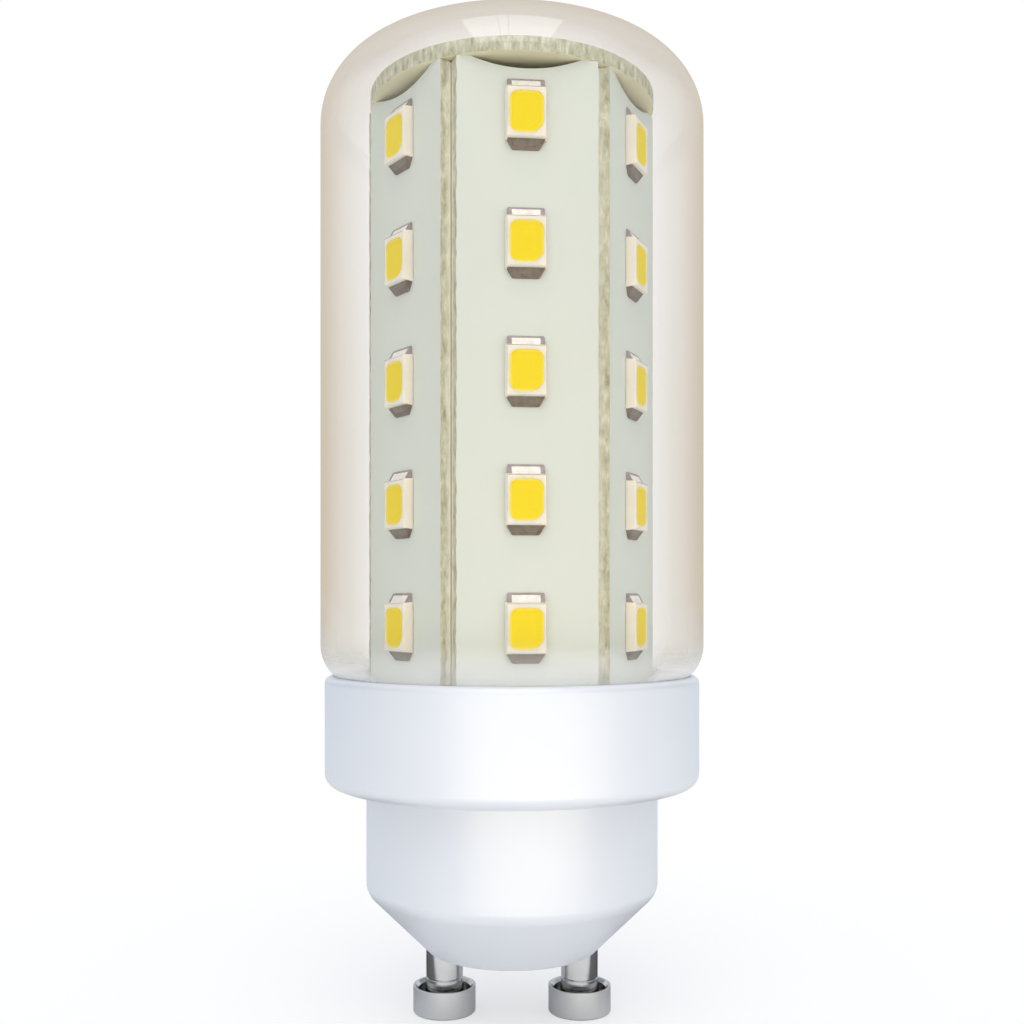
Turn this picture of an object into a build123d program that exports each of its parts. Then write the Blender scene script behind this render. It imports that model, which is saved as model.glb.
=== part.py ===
from build123d import *
import os
from math import acos, asin, cos, degrees, hypot, radians, sin, sqrt, tan

# LED capsule lamp on a two-pin twist-lock cap. Millimetres, +Z up along the lamp's axis.
# The origin is on the axis in the plane of the pin ends, and the pins stand along X.

# Contact pins
PIN_SPACING = 10.0
PIN_FREE_LENGTH = 4.8
PIN_SHANK_DIAMETER = 2.7
PIN_HEAD_DIAMETER = 4.6
PIN_HEAD_HEIGHT = 2.0
PIN_HEAD_CHAMFER = 0.15
PIN_RIM_WIDTH = 0.15
PIN_RIM_BEVEL = 0.25
PIN_CUP_DEPTH = 1.0
PIN_ROOT_RING = 0.1
PIN_ROOT_RING_HEIGHT = 0.35
PIN_TAIL_DIAMETER = 2.3
PIN_RIVET_DIAMETER = 3.4
PIN_RIVET_HEIGHT = 0.5
PIN_RECESS_GAP = 0.25
PIN_RECESS_DEPTH = 0.8

# Base housing: cone and neck of the cap
BASE_WALL = 1.4
BASE_FOOT_MARGIN = 1.2
BASE_CONE_ANGLE = 45.0
BASE_RIVET_ROOM = 0.3
NECK_HEIGHT = 7.7
NECK_ROUND = 0.5
NECK_SHOULDER = 0.5

# Collar between the neck and the cover
COLLAR_STEP = 3.0
COLLAR_INSET = 0.3
COLLAR_HEIGHT = 7.9
COLLAR_WALL = 1.1
COLLAR_SEAT = 3.2
COLLAR_FOOT_ROUND = 0.9
COLLAR_TOP_ROUND = 0.5
COLLAR_LEAD = 0.5

# Clear cover
COVER_WALL = 1.0
COVER_CLEARANCE = 2.48
COVER_LIP_RADIUS = 3.0
COVER_LIP_DROP = 0.35
COVER_KNUCKLE_RADIUS = 5.0
COVER_CROWN_RADIUS = 24.0
COVER_HEADROOM = 3.7

# Column of strip boards
BOARD_COUNT = 6
BOARD_WIDTH = 9.8
BOARD_THICKNESS = 0.8
BOARD_JOINT = 0.03
BOARD_TURN = 5.6
BOARD_PEAK_WIDTH = 1.2
BOARD_DIP = 0.7
BOARD_PEAK_ROUND = 0.25
BOARD_TAB_WIDTH = 4.0
BOARD_TOP_MARGIN = 3.8

# LED packages on the boards
LED_ROWS = 5
LED_PITCH = 8.5
LED_FIRST_RISE = 3.6
LED_WIDTH = 2.8
LED_LENGTH = 3.5
LED_HEIGHT = 0.75
LED_DRAFT = 6.0
LED_SIDE_FRAME = 0.146
LED_UPPER_FRAME = 0.306
LED_LOWER_FRAME = 0.186
LED_WINDOW_ROUND = 0.5
LED_WINDOW_DEPTH = 0.3
LED_MARK = 0.75
PHOSPHOR_DIP = 0.04
SOLDER_WIDTH = 2.5
SOLDER_REACH = 0.6
SOLDER_UPPER_HEIGHT = 0.72
SOLDER_UPPER_CORNER = 0.08
SOLDER_LOWER_HEIGHT = 0.72
SOLDER_LOWER_CORNER = 0.4
SOLDER_EDGE = 0.08

# Plates that close the column
TOP_PLATE_THICKNESS = 1.0
TOP_PLATE_OVERHANG = 1.1
CARRIER_THICKNESS = 1.6
CARRIER_DROP = 0.6

# Driver in the neck
DRIVER_THICKNESS = 1.2
DRIVER_LEDGE = 0.8
DRIVER_LEDGE_RISE = 1.1
WIRE_DIAMETER = 0.8
WIRE_STUB = 0.8
WIRE_BORE_DEPTH = 1.5
LED_WIRE_X = -5.5
LED_WIRE_Y = 4.0
CAPACITOR_DIAMETER = 6.3
CAPACITOR_HEIGHT = 5.0
CAPACITOR_GROOVE = 0.3
RECTIFIER_WIDTH = 4.7
RECTIFIER_DEPTH = 3.8
RECTIFIER_HEIGHT = 2.4
CHIP_WIDTH = 4.9
CHIP_DEPTH = 3.6
CHIP_HEIGHT = 1.5
PACKAGE_DRAFT = 7.0
FUSE_DIAMETER = 1.8
FUSE_LENGTH = 4.0
FUSE_ROUND = 0.4
COMPONENT_EDGE = 0.8
COMPONENT_GAP = 0.4

# Fits
FIT_CLEARANCE = 0.1
WIRE_CLEARANCE = 0.05

# Radii from the column outwards
face_angle = 360.0 / BOARD_COUNT
board_inner = (BOARD_WIDTH + BOARD_JOINT) / 2 / tan(radians(face_angle / 2))
board_outer = board_inner + BOARD_THICKNESS
column_radius = hypot(board_outer, BOARD_WIDTH / 2)
top_plate_radius = board_outer + TOP_PLATE_OVERHANG
cover_radius = column_radius + COVER_CLEARANCE + COVER_WALL
collar_radius = cover_radius - COLLAR_INSET
collar_bore = collar_radius - COLLAR_WALL
spigot_radius = collar_bore - FIT_CLEARANCE
carrier_radius = spigot_radius - COVER_WALL - FIT_CLEARANCE
neck_radius = collar_radius - COLLAR_STEP
neck_inner = neck_radius - BASE_WALL
neck_spigot = neck_radius - NECK_SHOULDER
pin_x = PIN_SPACING / 2
foot_radius = pin_x + BASE_FOOT_MARGIN
floor_radius = pin_x + PIN_RIVET_DIAMETER / 2 + BASE_RIVET_ROOM
ledge_radius = neck_inner - DRIVER_LEDGE

# Heights from the pin ends upwards
cone_slope = tan(radians(BASE_CONE_ANGLE))
cone_wall = BASE_WALL / cos(radians(BASE_CONE_ANGLE))
foot_z = PIN_FREE_LENGTH
recess_z = foot_z + PIN_RECESS_DEPTH
floor_z = foot_z + (floor_radius + cone_wall - foot_radius) / cone_slope
neck_z = foot_z + (neck_radius - foot_radius) / cone_slope
driver_z = neck_z + DRIVER_LEDGE_RISE
driver_top = driver_z + DRIVER_THICKNESS
collar_z = neck_z + NECK_HEIGHT
seat_z = collar_z + COLLAR_SEAT
collar_top = collar_z + COLLAR_HEIGHT
carrier_top = collar_top - CARRIER_DROP
carrier_z = carrier_top - CARRIER_THICKNESS
led_z = collar_top + LED_FIRST_RISE
board_top = led_z + LED_PITCH * (LED_ROWS - 1) + BOARD_TOP_MARGIN
cover_top = board_top + TOP_PLATE_THICKNESS + COVER_HEADROOM + COVER_WALL

wire_hole = WIRE_DIAMETER / 2 + WIRE_CLEARANCE

# Window in a package's face, within the face's frame
led_lean = LED_HEIGHT * tan(radians(LED_DRAFT))
window_width = LED_WIDTH - 2 * (led_lean + LED_SIDE_FRAME)
window_length = LED_LENGTH - 2 * led_lean - LED_UPPER_FRAME - LED_LOWER_FRAME
window_drop = (LED_UPPER_FRAME - LED_LOWER_FRAME) / 2

# Driver's layout: the capacitor and the chip keep to the wall, and the rest sits next to them
layout_radius = neck_inner - COMPONENT_EDGE
capacitor_y = layout_radius - CAPACITOR_DIAMETER / 2
chip_y = CHIP_DEPTH / 2 - sqrt(layout_radius**2 - CHIP_WIDTH**2 / 4)
rectifier_y = chip_y + CHIP_DEPTH / 2 + COMPONENT_GAP + RECTIFIER_DEPTH / 2
fuse_x = CAPACITOR_DIAMETER / 2 + COMPONENT_GAP + FUSE_DIAMETER / 2
fuse_end = WIRE_DIAMETER / 2 + COMPONENT_GAP


def turned(outline):
    """Solid of revolution about the lamp's axis from a closed outline drawn as (radius, height)."""
    return revolve(Plane.XZ * make_face(outline), Axis.Z)


def disc(radius, low, high):
    """Upright cylinder on the lamp's axis between two heights."""
    return Pos(0, 0, low) * extrude(Circle(radius), high - low)


def face_plane(board):
    """Plane on a board's outer face at height 0: X runs across the board, Y up, Z outwards."""
    turn = radians(BOARD_TURN + face_angle * board)
    outwards = Vector(sin(turn), -cos(turn), 0)
    return Plane(origin=outwards * board_outer, x_dir=(cos(turn), sin(turn), 0), z_dir=outwards)


def led_places(board):
    """Places of one board's LEDs on its outer face, from the collar upwards."""
    face = face_plane(board)
    return [face * Pos(0, led_z + LED_PITCH * row) for row in range(LED_ROWS)]


def cover_outline(inset):
    """Closed half outline of the cover's outer surface moved inwards by inset."""
    lip_centre = cover_radius - COVER_LIP_RADIUS
    lip_radius = COVER_LIP_RADIUS - inset
    lip_turn = acos((spigot_radius - inset - lip_centre) / lip_radius)
    outer_turn = acos((spigot_radius - lip_centre) / COVER_LIP_RADIUS)
    lip_z = collar_top - COVER_LIP_DROP + COVER_LIP_RADIUS * sin(outer_turn)
    knuckle_centre = cover_radius - COVER_KNUCKLE_RADIUS
    crown_turn = asin(knuckle_centre / (COVER_CROWN_RADIUS - COVER_KNUCKLE_RADIUS))
    crown_z = cover_top - COVER_CROWN_RADIUS
    knuckle_z = crown_z + (COVER_CROWN_RADIUS - COVER_KNUCKLE_RADIUS) * cos(crown_turn)
    knuckle_radius = COVER_KNUCKLE_RADIUS - inset
    crown_radius = COVER_CROWN_RADIUS - inset
    bend = 90 - degrees(crown_turn)
    lip = CenterArc((lip_centre, lip_z), lip_radius, -degrees(lip_turn), degrees(lip_turn))
    wall = Line((cover_radius - inset, lip_z), (cover_radius - inset, knuckle_z))
    knuckle = CenterArc((knuckle_centre, knuckle_z), knuckle_radius, 0, bend)
    crown = CenterArc((0, crown_z), crown_radius, bend, degrees(crown_turn))
    axis = Line((0, cover_top - inset), (0, seat_z))
    rim = Line((0, seat_z), (spigot_radius - inset, seat_z))
    spigot = Line((spigot_radius - inset, seat_z), lip @ 0)
    return Curve() + [lip, wall, knuckle, crown, axis, rim, spigot]


def clear_cover():
    return turned(cover_outline(0)) - turned(cover_outline(COVER_WALL))


def collar():
    floor_bore = neck_spigot + FIT_CLEARANCE
    section = make_face(
        Polyline(
            (floor_bore, collar_z),
            (collar_radius, collar_z),
            (collar_radius, collar_top),
            (collar_bore + COLLAR_LEAD, collar_top),
            (collar_bore, collar_top - COLLAR_LEAD),
            (collar_bore, seat_z),
            (carrier_radius, seat_z),
            (carrier_radius, carrier_z),
            (floor_bore, carrier_z),
            close=True,
        )
    )
    top_round = min(COLLAR_TOP_ROUND, (COLLAR_WALL - COLLAR_LEAD) * 0.9)
    section = fillet(section.vertices().group_by(Axis.X)[-1].sort_by(Axis.Y)[-1], top_round)
    section = fillet(section.vertices().group_by(Axis.Y)[0].sort_by(Axis.X)[-1], COLLAR_FOOT_ROUND)
    return revolve(Plane.XZ * section, Axis.Z)


def base_housing():
    spigot_top = carrier_z - FIT_CLEARANCE
    ledge_foot = floor_z + (ledge_radius - floor_radius) / cone_slope
    section = make_face(
        Polyline(
            (0, foot_z),
            (foot_radius, foot_z),
            (neck_radius, neck_z),
            (neck_radius, collar_z),
            (neck_spigot, collar_z),
            (neck_spigot, spigot_top),
            (neck_inner, spigot_top),
            (neck_inner, driver_z),
            (ledge_radius, driver_z),
            (ledge_radius, ledge_foot),
            (floor_radius, floor_z),
            (0, floor_z),
            close=True,
        )
    )
    section = fillet(section.vertices().group_by(Axis.X)[-1].sort_by(Axis.Y)[0], NECK_ROUND)
    base = revolve(Plane.XZ * section, Axis.Z)
    recess = disc(PIN_SHANK_DIAMETER / 2 + PIN_RECESS_GAP, 0, recess_z)
    tail_hole = disc(PIN_TAIL_DIAMETER / 2 + WIRE_CLEARANCE, recess_z, floor_z)
    for x in (-pin_x, pin_x):
        base -= Pos(x, 0) * (recess + tail_hole)
    return base


def contact_pin(x):
    head = PIN_HEAD_DIAMETER / 2
    shank = PIN_SHANK_DIAMETER / 2
    ring = shank + PIN_ROOT_RING
    cup_z = PIN_HEAD_HEIGHT - PIN_CUP_DEPTH
    rim = head - PIN_RIM_WIDTH
    cup = rim - PIN_RIM_BEVEL
    rivet_top = floor_z + PIN_RIVET_HEIGHT
    bore_z = rivet_top - WIRE_BORE_DEPTH
    outline = Polyline(
        (0, 0),
        (head - PIN_HEAD_CHAMFER, 0),
        (head, PIN_HEAD_CHAMFER),
        (head, PIN_HEAD_HEIGHT),
        (rim, PIN_HEAD_HEIGHT),
        (cup, PIN_HEAD_HEIGHT - PIN_RIM_BEVEL),
        (cup, cup_z),
        (ring, cup_z),
        (ring, cup_z + PIN_ROOT_RING_HEIGHT),
        (shank, cup_z + PIN_ROOT_RING_HEIGHT + PIN_ROOT_RING),
        (shank, recess_z),
        (PIN_TAIL_DIAMETER / 2, recess_z),
        (PIN_TAIL_DIAMETER / 2, floor_z),
        (PIN_RIVET_DIAMETER / 2, floor_z),
        (PIN_RIVET_DIAMETER / 2, rivet_top),
        (wire_hole, rivet_top),
        (wire_hole, bore_z),
        (0, bore_z),
        close=True,
    )
    return Pos(x, 0) * turned(outline)


def led_board(board):
    """Strip board with a round dip in its top edge and a tab that plugs into the carrier plate."""
    dip_width = BOARD_WIDTH - 2 * BOARD_PEAK_WIDTH
    dip_radius = (dip_width**2 / 4 + BOARD_DIP**2) / (2 * BOARD_DIP)
    peak_round = min(BOARD_PEAK_ROUND, BOARD_PEAK_WIDTH / 2)
    outline = Pos(0, (carrier_top + board_top) / 2) * Rectangle(BOARD_WIDTH, board_top - carrier_top)
    outline = fillet(outline.vertices().group_by(Axis.Y)[-1], peak_round)
    outline -= Pos(0, board_top - BOARD_DIP + dip_radius) * Circle(dip_radius)
    tab_z = carrier_z + FIT_CLEARANCE
    outline += Pos(0, (tab_z + carrier_top) / 2) * Rectangle(BOARD_TAB_WIDTH, carrier_top - tab_z)
    return face_plane(board) * extrude(outline, -BOARD_THICKNESS)


def led_window():
    """Window of a package, with one corner cut off as the polarity mark."""
    window = RectangleRounded(window_width, window_length, LED_WINDOW_ROUND)
    corner = Pos(window_width / 2, -window_length / 2)
    window -= corner * Rot(0, 0, 45) * Rectangle(LED_MARK * sqrt(2), LED_MARK * sqrt(2))
    return Pos(0, -window_drop) * window


def led_package():
    body = extrude(Rectangle(LED_WIDTH, LED_LENGTH), LED_HEIGHT, taper=LED_DRAFT)
    return body - Pos(0, 0, LED_HEIGHT - LED_WINDOW_DEPTH) * extrude(led_window(), LED_WINDOW_DEPTH)


def led_phosphor():
    depth = LED_WINDOW_DEPTH - PHOSPHOR_DIP
    return Pos(0, 0, LED_HEIGHT - LED_WINDOW_DEPTH) * extrude(led_window(), depth)


def solder_fillet(height, corner):
    """Solder at the upper end of a package: a wedge that follows the package's sloping end."""
    lean = height * tan(radians(LED_DRAFT))
    wedge = Polyline(
        (0, 0),
        (SOLDER_REACH, 0),
        (SOLDER_REACH, SOLDER_EDGE),
        (-lean, height),
        close=True,
    )
    upright = Plane(origin=(-SOLDER_WIDTH / 2, LED_LENGTH / 2, 0), x_dir=(0, 1, 0), z_dir=(1, 0, 0))
    joint = upright * extrude(make_face(wedge), SOLDER_WIDTH)
    outer_corners = joint.edges().filter_by(Axis.Z).group_by(Axis.Y)[-1]
    return chamfer(outer_corners, corner)


def solder_joints():
    upper = solder_fillet(SOLDER_UPPER_HEIGHT, SOLDER_UPPER_CORNER)
    lower = Rot(0, 0, 180) * solder_fillet(SOLDER_LOWER_HEIGHT, SOLDER_LOWER_CORNER)
    places = [place for board in range(BOARD_COUNT) for place in led_places(board)]
    return Compound([place * joint for place in places for joint in (upper, lower)])


def phosphors(board):
    return Compound([place * led_phosphor() for place in led_places(board)])


def top_plate():
    return disc(top_plate_radius, board_top, board_top + TOP_PLATE_THICKNESS)


def led_wire_places():
    return [Pos(LED_WIRE_X, y) for y in (LED_WIRE_Y, -LED_WIRE_Y)]


def carrier_plate():
    plate = disc(carrier_radius, carrier_z, carrier_top)
    slot = Rectangle(BOARD_TAB_WIDTH + 2 * FIT_CLEARANCE, BOARD_THICKNESS + 2 * FIT_CLEARANCE)
    for board in range(BOARD_COUNT):
        turn = Rot(0, 0, BOARD_TURN + face_angle * board)
        middle = Pos(0, -board_inner - BOARD_THICKNESS / 2, carrier_z)
        plate -= turn * middle * extrude(slot, CARRIER_THICKNESS)
    for place in led_wire_places():
        plate -= place * disc(wire_hole, carrier_z, carrier_top)
    return plate


def driver_board():
    board = disc(neck_inner - 2 * FIT_CLEARANCE, driver_z, driver_top)
    holes = led_wire_places() + [Pos(x, 0) for x in (-pin_x, pin_x)]
    for place in holes:
        board -= place * disc(wire_hole, driver_z, driver_top)
    return board


def moulded_package(width, depth, height, y):
    """Moulded component that stands on the driver board, with sides that taper upwards."""
    return Pos(0, y, driver_top) * extrude(Rectangle(width, depth), height, taper=PACKAGE_DRAFT)


def smoothing_capacitor():
    radius = CAPACITOR_DIAMETER / 2
    groove = radius - CAPACITOR_GROOVE
    outline = Polyline(
        (0, 0),
        (radius, 0),
        (radius, CAPACITOR_GROOVE * 2),
        (groove, CAPACITOR_GROOVE * 3),
        (radius, CAPACITOR_GROOVE * 4),
        (radius, CAPACITOR_HEIGHT - CAPACITOR_GROOVE),
        (groove, CAPACITOR_HEIGHT),
        (0, CAPACITOR_HEIGHT),
        close=True,
    )
    return Pos(0, capacitor_y, driver_top) * turned(outline)


def fuse_resistor():
    """Axial resistor that lies on the driver board along Y."""
    lying = Plane(origin=(fuse_x, fuse_end, driver_top + FUSE_DIAMETER / 2), z_dir=(0, 1, 0))
    body = lying * extrude(Circle(FUSE_DIAMETER / 2), FUSE_LENGTH)
    return fillet(body.edges().filter_by(GeomType.CIRCLE), FUSE_ROUND)


def supply_wire(x):
    bore_z = floor_z + PIN_RIVET_HEIGHT - WIRE_BORE_DEPTH
    return Pos(x, 0) * disc(WIRE_DIAMETER / 2, bore_z, driver_top + WIRE_STUB)


def led_wire(place):
    return place * disc(WIRE_DIAMETER / 2, driver_z - WIRE_STUB, carrier_top + WIRE_STUB)


positive, negative = led_wire_places()
nodes = {
    "clear_cover": clear_cover(),
    "collar": collar(),
    "base_housing": base_housing(),
    "contact_pin_left": contact_pin(-pin_x),
    "contact_pin_right": contact_pin(pin_x),
    "top_plate": top_plate(),
    "carrier_plate": carrier_plate(),
    "driver_board": driver_board(),
    "bridge_rectifier": moulded_package(RECTIFIER_WIDTH, RECTIFIER_DEPTH, RECTIFIER_HEIGHT, rectifier_y),
    "driver_chip": moulded_package(CHIP_WIDTH, CHIP_DEPTH, CHIP_HEIGHT, chip_y),
    "smoothing_capacitor": smoothing_capacitor(),
    "fuse_resistor": fuse_resistor(),
    "supply_wire_left": supply_wire(-pin_x),
    "supply_wire_right": supply_wire(pin_x),
    "led_wire_positive": led_wire(positive),
    "led_wire_negative": led_wire(negative),
    "solder_joints": solder_joints(),
}
for board in range(BOARD_COUNT):
    nodes[f"led_board_{board + 1}"] = led_board(board)
    nodes[f"phosphor_{board + 1}"] = phosphors(board)
    for row, place in enumerate(led_places(board)):
        nodes[f"led_{board + 1}_{row + 1}"] = place * led_package()

os.makedirs("parts", exist_ok=True)
for name, shape in nodes.items():
    export_step(shape, f"parts/{name}.step")
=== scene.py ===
"""Studio scene of a clear LED capsule lamp on a two-pin twist-lock cap, dressed round its CAD frame."""
import math
import random

import bmesh
import bpy
from mathutils import Matrix, Vector


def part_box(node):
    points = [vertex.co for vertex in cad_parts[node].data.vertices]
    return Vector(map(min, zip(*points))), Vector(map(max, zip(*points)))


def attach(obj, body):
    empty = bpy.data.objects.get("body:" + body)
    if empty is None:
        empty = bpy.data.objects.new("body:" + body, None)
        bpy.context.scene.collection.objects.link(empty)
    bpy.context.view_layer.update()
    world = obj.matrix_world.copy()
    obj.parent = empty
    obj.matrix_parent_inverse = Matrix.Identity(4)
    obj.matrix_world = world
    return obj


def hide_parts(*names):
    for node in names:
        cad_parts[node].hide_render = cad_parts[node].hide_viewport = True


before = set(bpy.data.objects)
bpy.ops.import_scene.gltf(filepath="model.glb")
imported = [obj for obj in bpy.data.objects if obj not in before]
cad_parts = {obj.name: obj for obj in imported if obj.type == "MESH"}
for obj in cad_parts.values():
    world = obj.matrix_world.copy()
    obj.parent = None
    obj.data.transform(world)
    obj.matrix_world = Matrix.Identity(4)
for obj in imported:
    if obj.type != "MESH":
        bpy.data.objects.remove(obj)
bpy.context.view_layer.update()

MM = 0.001

# Modelling: steps round a turned piece and a corner, and how alike counts as the same
TURN_STEPS = 160
ROUND_STEPS = 6
SMOOTH_ANGLE = math.radians(32)
FACING = 0.9
NEAR = 1e-6
DOUBLED = 1e-7

# Clear cover
COVER_WALL = 1.0 * MM
COVER_SPIGOT_STEP = 1.5 * MM
COVER_LIP_RADIUS = 3.0 * MM
COVER_LIP_DROP = 0.35 * MM
COVER_KNUCKLE_RADIUS = 5.0 * MM
COVER_CROWN_RADIUS = 24.0 * MM
COVER_RIM_ROUND = 0.25 * MM
COVER_ARC_STEPS = 20
COVER_INSIDE = 45.0 * MM
LIP_MILK = 0.24
MILK_COLOUR = (0.95, 0.95, 0.97, 1)

# Collar and base housing
COLLAR_WALL = 1.1 * MM
COLLAR_LEAD = 0.5 * MM
COLLAR_TOP_ROUND = 0.5 * MM
COLLAR_FOOT_ROUND = 0.9 * MM
COLLAR_STEP = 3.0 * MM
NECK_SHOULDER = 0.5 * MM
NECK_ROUND = 0.5 * MM
FOOT_ROUND = 0.18 * MM
BASE_WALL = 1.4 * MM
BASE_CONE_ANGLE = math.radians(45)
BASE_FOOT_MARGIN = 1.2 * MM
BASE_FLOOR_RADIUS = 7.0 * MM
DRIVER_LEDGE = 0.8 * MM
PIN_RECESS_GAP = 0.25 * MM
PIN_RECESS_DEPTH = 0.8 * MM
FIT = 0.1 * MM

# Contact pins
PIN_HEAD_HEIGHT = 2.0 * MM
PIN_SHANK_RADIUS = 1.35 * MM
PIN_CUP_DEPTH = 1.0 * MM
PIN_RIM_WIDTH = 0.15 * MM
PIN_RIM_BEVEL = 0.25 * MM
PIN_HEAD_ROUND = 0.18 * MM
PIN_ROOT_RING = 0.1 * MM
PIN_ROOT_RING_HEIGHT = 0.35 * MM
PIN_TAIL_RADIUS = 1.15 * MM
PIN_RIVET_RADIUS = 1.7 * MM
PIN_RIVET_HEIGHT = 0.5 * MM
PIN_WIRE_HOLE = 0.45 * MM
PIN_WIRE_BORE = 1.5 * MM
PIN_GROOVE = 0.07 * MM
PIN_GROOVE_RISE = 1.5 * MM

# Strip boards
BOARD_COUNT = 6
BOARD_TURN = math.radians(5.6)
BOARD_WIDTH = 9.8 * MM
BOARD_THICKNESS = 0.8 * MM
BOARD_PEAK_WIDTH = 1.2 * MM
BOARD_PEAK_ROUND = 0.25 * MM
BOARD_DIP = 0.7 * MM
BOARD_TAB_WIDTH = 4.0 * MM
BOARD_EDGE_CUTS = 170
BOARD_EDGE_ROUGHNESS = 0.07 * MM
BOARD_SCORE = 0.28 * MM
BOARD_JOINT = 0.028 * MM

# LED packages
LED_ROWS = 5
LED_WIDTH = 2.8 * MM
LED_LENGTH = 3.5 * MM
LED_DRAFT = math.radians(6)
LED_EDGE_ROUND = 0.05 * MM
LED_EDGE_STEPS = 3
LED_EDGE_ANGLE = 0.5
LED_SIDE_FRAME = 0.19 * MM
LED_UPPER_FRAME = 0.33 * MM
LED_LOWER_FRAME = 0.24 * MM
LED_WINDOW_DEPTH = 0.3 * MM
LED_WINDOW_ROUND = 0.6 * MM
LED_WINDOW_STEPS = 4
LED_MARK = 0.75 * MM
LED_MARK_PROFILE = 0.4
PHOSPHOR_DIP = 0.04 * MM
PHOSPHOR_RINGS = 2
PHOSPHOR_RIM = 0.12 * MM
PHOSPHOR_SAG = 0.02 * MM
SOLDER_WIDTH = 2.5 * MM
SOLDER_REACH = 0.6 * MM
SOLDER_EDGE = 0.08 * MM
SOLDER_HEIGHT = 0.45 * MM
# Each joint's taper, and the widths of the outline at its sides and of the bar at its tip, which carry
# painted shade round the middle
SOLDER_UPPER = {"taper": 0.0 * MM, "rim": 0.29 * MM, "bar": 0.15 * MM}
SOLDER_LOWER = {"taper": 0.34 * MM, "rim": 0.27 * MM, "bar": 0.22 * MM}
SOLDER_CORNER = 0.1 * MM
SOLDER_CORNER_STEPS = 2
SOLDER_SINK = 0.03 * MM

# Plates
PLATE_ROUND = 0.08 * MM
PLATE_ROUND_STEPS = 2
PLATE_STEPS = 180
PLATE_EDGE_ROUGHNESS = 0.03 * MM

# Heights in millimetres between which a finish, or a painted light or shade, changes
CUP_MOUTH = (1.7, 1.8)
CONE_GLOSS = (8.5, 10.5)
COLLAR_GLOSS = (17.0, 18.5)
GLASS_FOOT = (24.0, 32.0)
LIP_ROOT = (24.3, 24.6)
LIP = (24.6, 28.0)
LIP_FADE = (28.0, 30.0)
BOARD_PAINTED_GLOW = (24.4, 27.5)
GLASS_UPPER = (38.0, 62.0)
GLASS_CROWN = (64.0, 66.0)

# Camera and floor
CAMERA_DISTANCE = 88.0 * MM
CAMERA_HEIGHT = 30.1 * MM
CAMERA_LENS = 41.77
CAMERA_SENSOR = 36.0
CAMERA_SHIFT = 0.09
FLOOR_SIZE = 6.0
FLOOR_NEAR = 12.0 * MM
FLOOR_FAR = 60.0 * MM
FLOOR_LIFT = 0.55

# Lamps and sky. Each key panel has its place across and its width
WARM_LIGHT = (1, 0.86, 0.64)
FRONT_LIGHT = (1, 0.91, 0.74)
KEY_LIGHT = (1, 0.97, 0.92)
KEY_PANELS = ((-0.129, 0.142), (-0.035, 0.038), (0.094, 0.212))
KEY_LENGTH = 0.52
KEY_POWER = 3.0
SKY_COLOUR = (0.88, 0.93, 1.0, 1)
SKY_STRENGTH = 0.95
FLAG_STRENGTH = 0.18
FLAG_SIDE = (0.5, 0.85)

# Part of the floor that is dark to gloss, in millimetres aside, back and away from the lamp
DARK_ASIDE = (9.0, 12.0)
DARK_BACK = (-9.0, -5.0)
DARK_AWAY = (24.0, 30.0)


def reach(node, direction):
    """How far a CAD node goes from the origin in a direction."""
    return max(vertex.co.dot(direction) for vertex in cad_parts[node].data.vertices)


UP = Vector((0, 0, 1))
OUT = Vector((1, 0, 0))

seat_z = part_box("clear_cover")[0].z
cover_top = reach("clear_cover", UP)
cover_radius = reach("clear_cover", OUT)
spigot_radius = cover_radius - COVER_SPIGOT_STEP
collar_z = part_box("collar")[0].z
collar_top = reach("collar", UP)
collar_radius = reach("collar", OUT)
collar_bore = collar_radius - COLLAR_WALL
neck_radius = collar_radius - COLLAR_STEP
neck_spigot = neck_radius - NECK_SHOULDER
carrier_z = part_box("carrier_plate")[0].z
carrier_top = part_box("carrier_plate")[1].z
driver_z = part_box("driver_board")[0].z
foot_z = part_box("base_housing")[0].z
pin_low, pin_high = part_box("contact_pin_right")
pin_x = (pin_low.x + pin_high.x) / 2
pin_head_radius = (pin_high.x - pin_low.x) / 2
floor_z = pin_high.z - PIN_RIVET_HEIGHT
foot_radius = pin_x + BASE_FOOT_MARGIN
neck_z = foot_z + (neck_radius - foot_radius) / math.tan(BASE_CONE_ANGLE)
plate_low, plate_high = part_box("top_plate")
board_top = plate_low.z


def face_way(board):
    """Direction that a board's printed face looks in."""
    turn = BOARD_TURN + math.tau * board / BOARD_COUNT
    return Vector((math.sin(turn), -math.cos(turn), 0))


board_face = reach("led_board_1", face_way(0))
led_height = reach("led_1_1", face_way(0)) - board_face
led_lean = led_height * math.tan(LED_DRAFT)
window_width = LED_WIDTH - 2 * (led_lean + LED_SIDE_FRAME)
window_length = LED_LENGTH - 2 * led_lean - LED_UPPER_FRAME - LED_LOWER_FRAME
window_drop = (LED_UPPER_FRAME - LED_LOWER_FRAME) / 2


def led_z(row):
    """Height of a row of LEDs."""
    low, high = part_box(f"led_1_{row + 1}")
    return (low.z + high.z) / 2


class Value:
    """An output of a material's nodes. Arithmetic on it adds Math nodes."""

    def __init__(self, finish, socket):
        self.finish = finish
        self.socket = socket

    def __add__(self, other):
        return self.finish.math("ADD", self, other)

    __radd__ = __add__

    def __sub__(self, other):
        return self.finish.math("SUBTRACT", self, other)

    def __rsub__(self, other):
        return self.finish.math("SUBTRACT", other, self)

    def __mul__(self, other):
        return self.finish.math("MULTIPLY", self, other)

    __rmul__ = __mul__


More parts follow.
